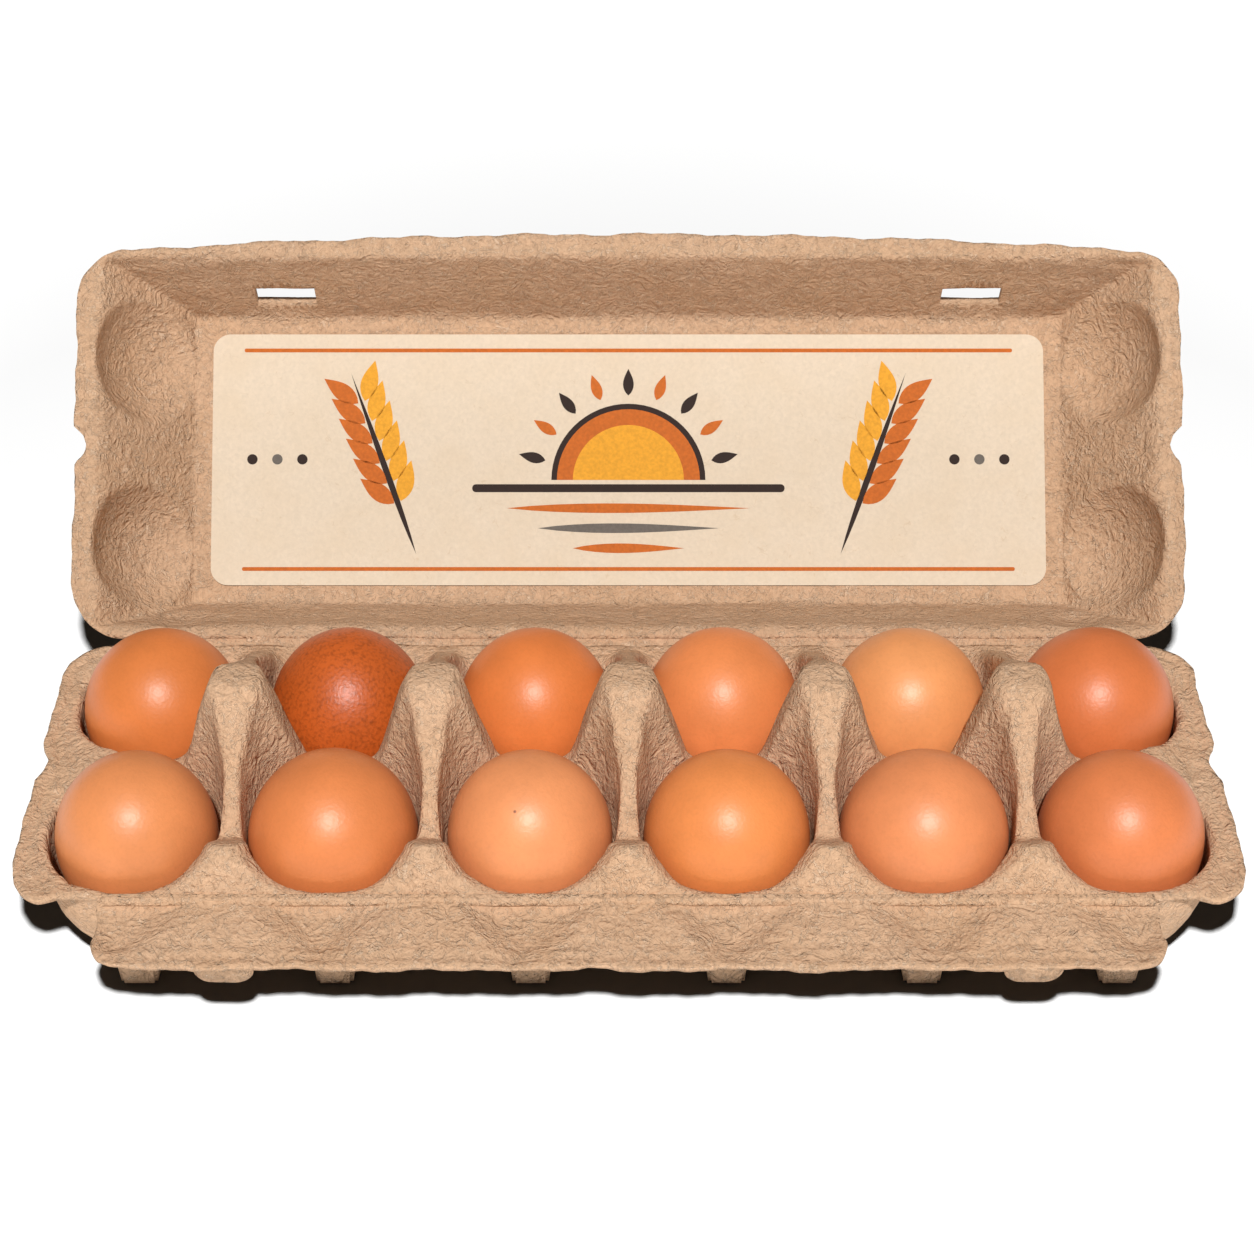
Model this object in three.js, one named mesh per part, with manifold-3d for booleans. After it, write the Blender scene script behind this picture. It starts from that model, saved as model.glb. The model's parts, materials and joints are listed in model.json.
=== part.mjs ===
// Moulded pulp carton for twelve eggs, open, with its eggs standing in it.
// Millimetres, +Z up. The carton's own frame has X along its six columns, Y = 0 on the line
// between the two rows, +Y towards the hinge and Z = 0 on the surface that it stands on.
import * as THREE from 'three';
import { mergeVertices } from 'three/addons/utils/BufferGeometryUtils.js';
import Module from 'manifold-3d';

const wasm = await Module();
wasm.setup();

// Cups and the shell that they are moulded in
const PITCH = 50;                // spacing of the six columns
const COLUMNS = 6;
const ROW_Y = 25.3;              // each row's distance from the middle line
const WALL = 1.9;                // thickness of the moulded pulp
const WALL_SAMPLES = [0.55, 0.92]; // shares of the thickness, out from a point, that its offset looks at
const RIM_Z = 35.6;              // height of the flange round the tray
const CUP_HALF_X = 22.1;
const CUP_HALF_Y = 23.2;
const CUP_POWER = 2.15;          // above 2, so that a cup is a little squarer than a circle
const CUP_FLOOR_Z = 2.2;
const CUP_WIDEST_Z = 32.6;
const CUP_KNEE = 0.996;          // share of the half-width where the bowl turns into a straight wall
const CUP_DRAFT = 18;            // rise over run of that wall

// Land between the cups: [distance, height] pairs
const POST_LINES = [-100, -50, 0, 50, 100];
const POST_ACROSS = [[0, 65], [6.75, 65], [15, 37], [25, 32.5], [35, 38], [45, 36], [60, 35.6]];
const SPINE_FRONT = [[0, 65], [5, 65], [33, 39], [44.7, 38], [50, 35.6], [60, 35.6]];
const SPINE_BACK = [[0, 65], [5, 65], [39.5, 41.5], [44.7, 37.2], [50, 35.6], [60, 35.6]];
const PEAK_ACROSS = [[0, 47], [2.5, 47], [7, 42], [10, 38.4], [14, 36.2], [18, 35.6], [60, 35.6]];
const PEAK_ALONG = [[33, 39], [44.7, 47], [50, 35.6], [60, 35.6]];
const RIB_HALF = [[0, 6.75], [4, 6.2], [9, 4.2], [16, 3.4], [60, 3]]; // the posts' top, then a rib down each side
const LOW_LAND = 12;             // the land drops below the rim only this near the middle line

// Outline of the tray
const END_X = 154;
const FRONT_EDGE = [[0, 50.5], [131, 50.5], [133, 49.8], [141, 49.8], [145, 52.6], [160, 52.6]];
const BACK_EDGE = 50.0;
const CORNER_R = 13;
const END_NOTCH = 2.2;           // depth of the shallow notch half way along each end
const END_NOTCH_HALF = 7;

// Feet under the cups
const FOOT_HALF_X = 5.8;
const FOOT_HALF_Y = 21.7;
const FOOT_TAPER = 1.2;          // how far a foot narrows towards the ground
const FOOT_SINK = 0.6;           // how far its upper side lies inside the wall of the cup
const FOOT_STEPS = 4;            // points from the middle of that side to each end

// Lid, in a frame of its own: X as above, l from the hinge to the front, h up from the rim
const HINGE_Y = 50.5;
const HINGE_Z = 37.1;
const LID_OPENING = THREE.MathUtils.degToRad(132.6);
const LID_LENGTH = 114;
const LID_BOW = 4.5;             // how far the front edge bows out in the middle
const LID_CORNER_R = 14.5;
const LID_GAP = 0.35;            // from the hinge plane to the lid's rim
const LID_DEPTH = 29.3;
const LID_WALL = 1.9;
const LID_OPEN_X = 147;
const LID_PANEL_X = 125;
const LID_HINGE_WALL = [3.7, 12.9];
const LID_FRONT_WALL = [107.4, 96.3];
const POCKET_X = 125;
const POCKET_OFFSET = 26.3;
const POCKET_MIDDLE = 54;
const POCKET_RADII = [23.5, 24, 28.5];
const LID_NOTCH = [10, 3.4];     // width and depth of the notch in each end of the lid's rim
const SLOT_X = 98;
const SLOT = [17, 12, 7.6];      // width, depth through the front wall, height up it
const SLOT_H = 19;

// Label on the lid's inner panel
const LABEL = [240, 73, 5, 0.35];
const LABEL_GAP = 0.3;

// Flap along the front, in a frame of its own: w outward from its fold
const FLAP_HINGE_Y = -51;
const FLAP_HINGE_Z = 35.5;
const FLAP_DROOP = THREE.MathUtils.degToRad(8);
const FLAP_HALF_X = 131;
const FLAP_WIDTH = 21;
const FLAP_WALL = 1.7;
const FLAP_GAP = 0.45;
const FLAP_CORNER_R = 9;
const FLAP_RECESS = 2.8;         // depth of the hollow in front of each cup
const RECESS_HALF = 19;          // half its width at the fold
const RECESS_NARROWING = 0.7;    // how much of that goes with each millimetre outward
const RECESS_SIDES = [2.5, 9, 9]; // run of its slopes at the fold, at its sides and outward
const TONGUE_X = 98;
const TONGUE = [14.6, 5.4, 1.8]; // width, drop below the flap, thickness
const TONGUE_R = 3;
const TONGUE_INSET = 0.4;        // from the flap's free edge to the tongue's outer face

// Eggs, blunt end up
const EGG_WIDEST_Z = 32.7;
const EGG_BLUNT = 23;
const EGG_POINTED = 29.6;
const EGG_TAPER = 0.09;          // narrows the pointed end against a plain ellipse
const EGG_WIDTHS = {
  front: [41.1, 43.2, 41.9, 42.4, 43.0, 42.1],
  back: [42.0, 42.3, 41.8, 42.1, 41.7, 42.9],
};
const EGG_COLOURS = {
  front: [0xe2915a, 0xdf8650, 0xec9a62, 0xe98e50, 0xe0915f, 0xd98250],
  back: [0xdb8045, 0xb45320, 0xe08244, 0xe78c54, 0xec9f65, 0xd67a48],
};
const EGG_SIDES = 14;
const EGG_STEPS = 8;

// Lines that the faceted surfaces are laid on
const END_SIDE_Y = [-19, -12, -5, 5, 14, 20, 24];
const END_SIDE_X = 29;
const END_FRONT_X = [24, 20, 17.5, 14.5, 9, 6];
const END_FRONT_Y = 26.5;
const END_MIDDLE_X = [10, 20];
const SEAM_X = [10, 18.25];
const SEAM_Y = [0, 5, 12, 18.5, 25.3, 34.5, 44.7];
const SEAM_EDGE_X = [21.5, 11];
const UPPER_RINGS = [0.5, 0.78, 0.93, 1];
const LOWER_RINGS = [0.5, 0.8, 1];
const LID_LINES_X = [0, 60, 104, 112, 119, 125, 131, 137, 142, 147, 151, 158];
const LID_LINES_L = [
  -2, 2, 3.7, 8, 12.9, 20, 27.7, 36, 43, 48.5, 54, 59.5, 65, 72, 80.3, 88, 96.3, 101, 107.4, 110, 117,
];
const RECESS_LINES_X = [-18, -8, 8, 18];
const FLAP_LINES_W = [FLAP_GAP, 2.7, 8, 14, FLAP_WIDTH + 2];

const PULP = { color: 0xc4a07d, roughness: 0.95, metalness: 0 };
const PAPER = { color: 0xecdec4, roughness: 0.8, metalness: 0 };

// Height read off a list of [distance, height] pairs, straight between them.
function profile(pairs, distance) {
  const next = pairs.findIndex(([at]) => at > distance);
  if (next === -1) return pairs[pairs.length - 1][1];
  if (next === 0) return pairs[0][1];
  const [x0, z0] = pairs[next - 1];
  const [x1, z1] = pairs[next];
  return z0 + (z1 - z0) * (distance - x0) / (x1 - x0);
}

const columnX = (column) => (column - (COLUMNS - 1) / 2) * PITCH;

function cupHeight(dx, dy) {
  const sum = Math.abs(dx / CUP_HALF_X) ** CUP_POWER + Math.abs(dy / CUP_HALF_Y) ** CUP_POWER;
  const reach = sum ** (1 / CUP_POWER);
  const depth = CUP_WIDEST_Z - CUP_FLOOR_Z;
  const bowl = CUP_WIDEST_Z - depth * Math.sqrt(1 - Math.min(reach, CUP_KNEE) ** 2);
  return bowl + Math.max(reach - CUP_KNEE, 0) * CUP_HALF_X * CUP_DRAFT;
}

// The side of a post: straight from the rib down to the edge of the cup beside it.
function postSide(across, y) {
  const share = Math.max(0, 1 - Math.abs((Math.abs(y) - ROW_Y) / CUP_HALF_Y) ** CUP_POWER);
  const cupEdge = PITCH / 2 - CUP_HALF_X * share ** (1 / CUP_POWER);
  const rib = Math.min(profile(RIB_HALF, Math.abs(y)), cupEdge - 0.1);
  const top = profile(y < 0 ? SPINE_FRONT : SPINE_BACK, Math.abs(y));
  const down = THREE.MathUtils.clamp((across - rib) / (cupEdge - rib), 0, 1);
  return top + (CUP_WIDEST_Z - top) * down;
}

function landHeight(x, y) {
  const across = Math.min(...POST_LINES.map((line) => Math.abs(x - line)));
  const along = Math.abs(y);
  const ridge = Math.min(profile(POST_ACROSS, across), postSide(across, y));
  const peak = y < 0 ? Math.min(profile(PEAK_ACROSS, across), profile(PEAK_ALONG, along)) : 0;
  return Math.max(ridge, along > LOW_LAND ? RIM_Z : 0, along > LOW_LAND ? peak : 0);
}

function trayTop(x, y) {
  const column = THREE.MathUtils.clamp(Math.round(x / PITCH + (COLUMNS - 1) / 2), 0, COLUMNS - 1);
  const row = y < 0 ? -ROW_Y : ROW_Y;
  return Math.min(landHeight(x, y), cupHeight(x - columnX(column), y - row));
}

// A surface one wall thickness away from another: side -1 below it, +1 above it.
function offsetSurface(height, wall, side) {
  const steps = [[0, 0]];
  for (const radius of WALL_SAMPLES) {
    for (let turn = 0; turn < 8; turn += 1) {
      const angle = turn * Math.PI / 4;
      steps.push([radius * wall * Math.cos(angle), radius * wall * Math.sin(angle)]);
    }
  }
  return (x, y) => {
    const reach = ([a, b]) => side * height(x + a, y + b) + Math.sqrt(wall * wall - a * a - b * b);
    return side * Math.max(...steps.map(reach));
  };
}

const trayUnderside = offsetSurface(trayTop, WALL, -1);

// Room left inside the tray's outline, negative outside it.
function edgeRoom(x, y) {
  const endX = END_X - END_NOTCH * Math.max(0, 1 - (y / END_NOTCH_HALF) ** 2);
  const limitY = y < 0 ? profile(FRONT_EDGE, Math.abs(x)) : BACK_EDGE;
  const roomX = endX - Math.abs(x);
  const roomY = limitY - Math.abs(y);
  if (roomX < CORNER_R && roomY < CORNER_R) {
    return CORNER_R - Math.hypot(CORNER_R - roomX, CORNER_R - roomY);
  }
  return Math.min(roomX, roomY);
}

// Where a ray from a cup's centre meets the outline.
function rayToEdge(cx, cy, dx, dy) {
  const length = Math.hypot(dx, dy);
  let inside = 0;
  let outside = 60;
  for (let step = 0; step < 40; step += 1) {
    const middle = (inside + outside) / 2;
    if (edgeRoom(cx + dx / length * middle, cy + dy / length * middle) > 0) inside = middle;
    else outside = middle;
  }
  return inside;
}

// Directions from a cup's centre, as points round its cell. Neighbours share the points between them.
function cellTargets(column, row) {
  const centreX = columnX(column);
  const half = PITCH / 2;
  const targets = [];
  for (const side of [-1, 1]) {
    const isEnd = Math.abs(centreX + side * half) > POST_LINES[4] + 1;
    if (isEnd) {
      const notched = END_X - END_NOTCH - Math.abs(centreX);
      for (const x of [...END_MIDDLE_X, notched]) targets.push([side * x, -row * ROW_Y, false]);
      for (const y of END_SIDE_Y) targets.push([side * END_SIDE_X, row * y, true]);
      for (const x of END_FRONT_X) targets.push([side * x, row * END_FRONT_Y, true]);
    } else {
      const edge = (row < 0 ? profile(FRONT_EDGE, Math.abs(centreX + side * half)) : BACK_EDGE) - ROW_Y;
      for (const x of SEAM_X) targets.push([side * x, -row * ROW_Y, false]);
      for (const y of SEAM_Y) targets.push([side * half, row * (y - ROW_Y), false]);
      targets.push([side * half, row * edge, false]);
      for (const x of SEAM_EDGE_X) targets.push([side * x, row * edge, true]);
    }
  }
  targets.push([0, -row * ROW_Y, false], [0, row * ROW_Y, true]);
  return targets.sort((a, b) => Math.atan2(a[1], a[0]) - Math.atan2(b[1], b[0]));
}

// Distance from a cup's centre to the crest where its wall meets the land.
function crestDistance(cx, cy, ux, uy, limit) {
  let inside = 5;
  let outside = limit;
  for (let step = 0; step < 30; step += 1) {
    const middle = (inside + outside) / 2;
    const isCup = cupHeight(ux * middle, uy * middle) < landHeight(cx + ux * middle, cy + uy * middle);
    if (isCup) inside = middle;
    else outside = middle;
  }
  return inside;
}

// One cell of the tray: rings round the cup's centre, out to the cell's border.
function cellFaces(column, row, height, shares, grown, faces, border) {
  const cx = columnX(column);
  const cy = row * ROW_Y;
  const rays = cellTargets(column, row).map(([tx, ty, open]) => {
    const reach = Math.hypot(tx, ty);
    const onLine = Math.abs(ty + row * ROW_Y) < 1e-9;
    const limit = open ? rayToEdge(cx, cy, tx, ty) : reach;
    const ux = tx / reach;
    const uy = ty / reach;
    const crest = Math.min(crestDistance(cx, cy, ux, uy, limit) + grown, limit - 0.2);
    const radii = [...shares.map((share) => share * crest), (crest + limit) / 2, limit];
    const ring = radii.map((r) => [cx + ux * r, onLine && r === limit ? 0 : cy + uy * r]);
    return { open, ring: ring.map(([x, y]) => [x, y, height(x, y)]) };
  });
  const middle = [cx, cy, height(cx, cy)];
  rays.forEach(({ ring, open }, index) => {
    const next = rays[(index + 1) % rays.length];
    faces.push([middle, ring[0], next.ring[0]]);
    for (let k = 0; k + 1 < ring.length; k += 1) {
      faces.push([ring[k], ring[k + 1], next.ring[k + 1]], [ring[k], next.ring[k + 1], next.ring[k]]);
    }
    const onEdge = ([x, y]) => Math.abs(edgeRoom(x, y)) < 1e-3;
    const last = ring[ring.length - 1];
    const nextLast = next.ring[next.ring.length - 1];
    if ((open || next.open) && onEdge(last) && onEdge(nextLast)) border.push([last, nextLast]);
  });
}

function geometryFromFaces(faces) {
  const geometry = new THREE.BufferGeometry();
  geometry.setAttribute('position', new THREE.Float32BufferAttribute(faces.flat(2), 3));
  return mergeVertices(geometry, 1e-3);
}

function toSolid(geometry) {
  const plain = geometry.clone();
  plain.deleteAttribute('normal');
  plain.deleteAttribute('uv');
  const merged = mergeVertices(plain, 1e-3);
  const triVerts = new Uint32Array(merged.index.array);
  const vertProperties = new Float32Array(merged.attributes.position.array);
  return new wasm.Manifold(new wasm.Mesh({ numProp: 3, vertProperties, triVerts }));
}

function toGeometry(solid) {
  const mesh = solid.getMesh();
  const geometry = new THREE.BufferGeometry();
  geometry.setAttribute('position', new THREE.BufferAttribute(new Float32Array(mesh.vertProperties), 3));
  geometry.setIndex(new THREE.BufferAttribute(new Uint32Array(mesh.triVerts), 1));
  return geometry;
}

function trayShell() {
  const faces = [];
  const lower = [];
  const edges = [];
  const lowerEdges = [];
  for (let column = 0; column < COLUMNS; column += 1) {
    for (const row of [-1, 1]) {
      cellFaces(column, row, trayTop, UPPER_RINGS, 0, faces, edges);
      cellFaces(column, row, trayUnderside, LOWER_RINGS, WALL, lower, lowerEdges);
    }
  }
  for (const [a, b, c] of lower) faces.push([a, c, b]);
  edges.forEach(([a, b], index) => {
    const [c, d] = lowerEdges[index];
    faces.push([a, c, d], [a, d, b]);
  });
  return geometryFromFaces(faces);
}

// A foot: its upper side follows the cup inside the wall, and its sides taper to the ground.
function foot(column, row) {
  const outline = new THREE.Shape();
  outline.moveTo(-FOOT_HALF_Y + FOOT_TAPER, 0);
  outline.lineTo(FOOT_HALF_Y - FOOT_TAPER, 0);
  for (let step = FOOT_STEPS; step >= -FOOT_STEPS; step -= 1) {
    const y = FOOT_HALF_Y * Math.sin(step / FOOT_STEPS * Math.PI / 2);
    outline.lineTo(y, cupHeight(0, y) - FOOT_SINK);
  }
  outline.closePath();
  const geometry = new THREE.ExtrudeGeometry(outline, { depth: 2 * FOOT_HALF_X, bevelEnabled: false });
  geometry.translate(0, 0, -FOOT_HALF_X);
  const position = geometry.attributes.position;
  for (let i = 0; i < position.count; i += 1) {
    const [y, z, x] = [position.getX(i), position.getY(i), position.getZ(i)];
    const narrow = 1 - (z < 0.01 ? FOOT_TAPER / FOOT_HALF_X : 0);
    position.setXYZ(i, columnX(column) + x * narrow, row * ROW_Y + y, z);
  }
  return geometry;
}

function trayGeometry() {
  let solid = toSolid(trayShell());
  for (let column = 0; column < COLUMNS; column += 1) {
    for (const row of [-1, 1]) solid = solid.add(toSolid(foot(column, row)));
  }
  return toGeometry(solid);
}

// A closed plate between two height fields over a grid of x and y lines.
function plateBetween(lines, cross, upper, lower) {
  const faces = [];
  const point = (i, j, height) => [lines[i], cross[j], height(lines[i], cross[j])];
  const quad = (a, b, c, d) => faces.push([a, b, c], [a, c, d]);
  for (let i = 0; i + 1 < lines.length; i += 1) {
    for (let j = 0; j + 1 < cross.length; j += 1) {
      quad(point(i, j, upper), point(i + 1, j, upper), point(i + 1, j + 1, upper), point(i, j + 1, upper));
      quad(point(i, j, lower), point(i, j + 1, lower), point(i + 1, j + 1, lower), point(i + 1, j, lower));
    }
  }
  const wall = (i0, j0, i1, j1) => {
    quad(point(i0, j0, lower), point(i1, j1, lower), point(i1, j1, upper), point(i0, j0, upper));
  };
  const lastI = lines.length - 1;
  const lastJ = cross.length - 1;
  for (let i = 0; i < lastI; i += 1) {
    wall(i, 0, i + 1, 0);
    wall(i + 1, lastJ, i, lastJ);
  }
  for (let j = 0; j < lastJ; j += 1) {
    wall(lastI, j, lastI, j + 1);
    wall(0, j + 1, 0, j);
  }
  return geometryFromFaces(faces);
}

const mirrored = (values) => [...values.map((v) => -v).reverse(), ...values.filter((v) => v > 0)];

// The hollow of the lid: a sloping-sided tray with two rounded pockets at each end.
function lidInside(x, l) {
  const slope = ([rim, panel]) => (l - rim) / (panel - rim);
  const end = (LID_OPEN_X - Math.abs(x)) / (LID_OPEN_X - LID_PANEL_X);
  const share = Math.min(slope(LID_HINGE_WALL), slope(LID_FRONT_WALL), end, 1);
  let hollow = (LID_DEPTH - LID_GAP) * Math.max(share, 0);
  const dl = Math.abs(l - POCKET_MIDDLE) - POCKET_OFFSET;
  const inPocket = 1 - ((Math.abs(x) - POCKET_X) / POCKET_RADII[0]) ** 2 - (dl / POCKET_RADII[1]) ** 2;
  if (inPocket > 0) hollow = Math.max(hollow, POCKET_RADII[2] * Math.sqrt(inPocket));
  return LID_GAP + hollow;
}

function lidOutline() {
  const front = LID_LENGTH - LID_BOW;
  const [notchWidth, notchDepth] = LID_NOTCH;
  const middle = front / 2;
  const shape = new THREE.Shape();
  shape.moveTo(0, FLAP_GAP);
  shape.lineTo(END_X - LID_CORNER_R, FLAP_GAP);
  shape.quadraticCurveTo(END_X, FLAP_GAP, END_X, FLAP_GAP + LID_CORNER_R);
  shape.lineTo(END_X, middle - notchWidth / 2);
  shape.quadraticCurveTo(END_X - 2 * notchDepth, middle, END_X, middle + notchWidth / 2);
  shape.lineTo(END_X, front - LID_CORNER_R);
  shape.quadraticCurveTo(END_X, front, END_X - LID_CORNER_R, front);
  shape.quadraticCurveTo(0, front + 2 * LID_BOW, -END_X + LID_CORNER_R, front);
  shape.quadraticCurveTo(-END_X, front, -END_X, front - LID_CORNER_R);
  shape.lineTo(-END_X, middle + notchWidth / 2);
  shape.quadraticCurveTo(-END_X + 2 * notchDepth, middle, -END_X, middle - notchWidth / 2);
  shape.lineTo(-END_X, FLAP_GAP + LID_CORNER_R);
  shape.quadraticCurveTo(-END_X, FLAP_GAP, -END_X + LID_CORNER_R, FLAP_GAP);
  shape.closePath();
  return shape;
}

function extruded(shape, depth, segments) {
  return new THREE.ExtrudeGeometry(shape, { depth, bevelEnabled: false, curveSegments: segments });
}

function lidGeometry() {
  const outside = offsetSurface(lidInside, LID_WALL, 1);
  let solid = toSolid(plateBetween(mirrored(LID_LINES_X), LID_LINES_L, outside, lidInside));
  solid = solid.intersect(toSolid(extruded(lidOutline(), LID_DEPTH + 10, 5)));
  const wallL = LID_FRONT_WALL[0] + (LID_FRONT_WALL[1] - LID_FRONT_WALL[0]) * SLOT_H / LID_DEPTH;
  for (const side of [-1, 1]) {
    const slot = new THREE.BoxGeometry(...SLOT);
    slot.translate(side * SLOT_X, wallL, SLOT_H);
    solid = solid.subtract(toSolid(slot));
  }
  return toGeometry(solid);
}

function roundedRectangle(width, height, radius) {
  const [x, y] = [width / 2, height / 2];
  const shape = new THREE.Shape();
  shape.moveTo(-x + radius, -y);
  shape.lineTo(x - radius, -y);
  shape.absarc(x - radius, -y + radius, radius, -Math.PI / 2, 0, false);
  shape.lineTo(x, y - radius);
  shape.absarc(x - radius, y - radius, radius, 0, Math.PI / 2, false);
  shape.lineTo(-x + radius, y);
  shape.absarc(-x + radius, y - radius, radius, Math.PI / 2, Math.PI, false);
  shape.lineTo(-x, -y + radius);
  shape.absarc(-x + radius, -y + radius, radius, Math.PI, 1.5 * Math.PI, false);
  return shape;
}

function labelGeometry() {
  const [width, height, radius, thickness] = LABEL;
  const geometry = extruded(roundedRectangle(width, height, radius), thickness, 4);
  const middle = (LID_HINGE_WALL[1] + LID_FRONT_WALL[1]) / 2;
  return geometry.translate(0, middle, LID_DEPTH - LABEL_GAP - thickness);
}

// Upper side of the flap: sunk in front of each cup, most of all near the fold.
function flapTop(x, w) {
  const fromColumn = Math.abs(x - columnX(Math.round(x / PITCH + (COLUMNS - 1) / 2)));
  const [foldRun, sideRun, outerRun] = RECESS_SIDES;
  const half = RECESS_HALF - RECESS_NARROWING * w;
  const sideways = THREE.MathUtils.clamp((half - fromColumn) / sideRun, 0, 1);
  const along = Math.min(w / foldRun, (FLAP_WIDTH - w) / outerRun, 1);
  return -FLAP_RECESS * sideways * Math.max(along, 0);
}

function tongue(side) {
  const [width, drop, thickness] = TONGUE;
  const shape = roundedRectangle(width, 2 * (drop + FLAP_WALL), TONGUE_R);
  const geometry = extruded(shape, thickness, 3);
  geometry.rotateX(Math.PI / 2);
  return geometry.translate(side * TONGUE_X, FLAP_WIDTH - TONGUE_INSET, 0);
}

function flapGeometry() {
  const xs = [];
  for (let column = 0; column < COLUMNS; column += 1) {
    for (const offset of RECESS_LINES_X) xs.push(columnX(column) + offset);
  }
  const beyond = FLAP_HALF_X + 3;
  const lower = (x, w) => flapTop(x, w) - FLAP_WALL;
  let solid = toSolid(plateBetween([-beyond, ...xs, beyond], FLAP_LINES_W, flapTop, lower));
  const outline = extruded(roundedRectangle(2 * FLAP_HALF_X, 2 * FLAP_WIDTH, FLAP_CORNER_R), 20, 5);
  solid = solid.intersect(toSolid(outline.translate(0, 0, -10)));
  for (const side of [-1, 1]) solid = solid.add(toSolid(tongue(side)));
  const above = new THREE.BoxGeometry(4 * FLAP_HALF_X, 4 * FLAP_WIDTH, 20);
  return toGeometry(solid.subtract(toSolid(above.translate(0, 0, 10.01))));
}

function eggGeometry(width) {
  const points = [];
  for (let step = 0; step <= EGG_STEPS; step += 1) {
    const angle = -Math.PI / 2 + Math.PI * step / EGG_STEPS;
    const rise = Math.sin(angle);
    const half = rise < 0 ? EGG_POINTED : EGG_BLUNT;
    const taper = 1 + EGG_TAPER * Math.min(rise, 0);
    const radius = step === 0 || step === EGG_STEPS ? 0 : width / 2 * Math.cos(angle) * taper;
    points.push(new THREE.Vector2(radius, rise * half));
  }
  return new THREE.LatheGeometry(points, EGG_SIDES).rotateX(Math.PI / 2);
}

function named(name, geometry, look) {
  const mesh = new THREE.Mesh(geometry, new THREE.MeshStandardMaterial(look));
  mesh.name = name;
  return mesh;
}

function buildLid() {
  const closed = new THREE.Group();
  closed.add(named('lid', lidGeometry(), PULP), named('label', labelGeometry(), PAPER));
  closed.scale.set(1, -1, 1);
  return closed;
}

function buildEggs(group) {
  for (const [rowName, side] of [['front', -1], ['back', 1]]) {
    EGG_WIDTHS[rowName].forEach((width, column) => {
      const look = { color: EGG_COLOURS[rowName][column], roughness: 0.45, metalness: 0 };
      const egg = named(`egg_${rowName}_${column + 1}`, eggGeometry(width), look);
      egg.position.set(columnX(column), side * ROW_Y, EGG_WIDEST_Z);
      egg.rotation.z = Math.PI / EGG_SIDES;
      group.add(egg);
    });
  }
}

const carton = new THREE.Group();
carton.add(named('tray', trayGeometry(), PULP));
buildEggs(carton);

const lidPivot = buildLid();
lidPivot.position.set(0, HINGE_Y, HINGE_Z);
lidPivot.rotation.x = -LID_OPENING;
carton.add(lidPivot);

const flap = named('flap', flapGeometry(), PULP);
flap.scale.set(1, -1, 1);
flap.position.set(0, FLAP_HINGE_Y, FLAP_HINGE_Z);
flap.rotation.x = FLAP_DROOP;
carton.add(flap);

// The origin is the middle of the underside of the box round the whole carton.
const group = new THREE.Group();
group.add(carton);
group.updateMatrixWorld(true);
const box = new THREE.Box3().setFromObject(carton, true);
carton.position.set(-(box.min.x + box.max.x) / 2, -(box.min.y + box.max.y) / 2, -box.min.z);

export default group;
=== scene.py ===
# Looks of an open moulded pulp carton with twelve brown eggs. Metres, in the frame of the CAD model.
import json
import math

import bmesh
import bpy
import numpy as np
from mathutils import Matrix, Vector, noise


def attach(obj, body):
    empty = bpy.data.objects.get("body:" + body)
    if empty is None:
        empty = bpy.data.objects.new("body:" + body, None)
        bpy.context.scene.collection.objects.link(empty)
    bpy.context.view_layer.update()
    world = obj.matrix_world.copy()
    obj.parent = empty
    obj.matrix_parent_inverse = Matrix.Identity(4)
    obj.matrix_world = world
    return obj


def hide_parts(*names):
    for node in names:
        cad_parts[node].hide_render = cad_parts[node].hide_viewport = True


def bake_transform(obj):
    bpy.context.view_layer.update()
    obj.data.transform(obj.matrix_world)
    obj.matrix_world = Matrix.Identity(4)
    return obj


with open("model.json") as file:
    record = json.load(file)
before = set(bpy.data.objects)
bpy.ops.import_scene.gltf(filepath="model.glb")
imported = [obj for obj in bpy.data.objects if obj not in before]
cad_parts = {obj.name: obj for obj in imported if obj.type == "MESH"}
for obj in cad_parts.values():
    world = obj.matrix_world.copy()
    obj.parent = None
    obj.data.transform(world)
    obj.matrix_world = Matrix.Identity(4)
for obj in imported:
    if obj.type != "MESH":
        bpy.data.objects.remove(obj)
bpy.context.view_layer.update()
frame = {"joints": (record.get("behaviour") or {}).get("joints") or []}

# Cups and the shell that they are moulded in
PITCH = 0.050
COLUMNS = 6
ROW_Y = 0.0253
WALL = 0.0019
WALL_SAMPLES = (0.55, 0.92)  # shares of the thickness that the shell's far side is worked out at
RIM_Z = 0.0356
CUP_HALF_X = 0.0221
CUP_HALF_Y = 0.0232
CUP_POWER = 2.15  # above 2, so that a cup is a little squarer than a circle
CUP_FLOOR_Z = 0.0022
CUP_WIDEST_Z = 0.0326
CUP_KNEE = 0.996  # share of the half width where the bowl turns into a straight wall
CUP_DRAFT = 18  # rise over run of that wall

# Land between the cups: distances and heights
POST_LINES = np.array([-0.100, -0.050, 0.0, 0.050, 0.100])
POST_ACROSS = ([0, 0.00675, 0.015, 0.025, 0.035, 0.045, 0.060],
               [0.065, 0.065, 0.037, 0.0325, 0.038, 0.036, 0.0356])
SPINE_FRONT = ([0, 0.005, 0.033, 0.0447, 0.050], [0.065, 0.065, 0.039, 0.038, 0.0356])
SPINE_BACK = ([0, 0.005, 0.0395, 0.0447, 0.050], [0.065, 0.065, 0.0415, 0.0372, 0.0356])
PEAK_ACROSS = ([0, 0.0015, 0.0035, 0.006, 0.009, 0.0135, 0.018],
               [0.0472, 0.0468, 0.0448, 0.0418, 0.0387, 0.0363, 0.0356])
PEAK_ALONG = ([0.033, 0.0447, 0.050], [0.039, 0.047, 0.0356])
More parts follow.
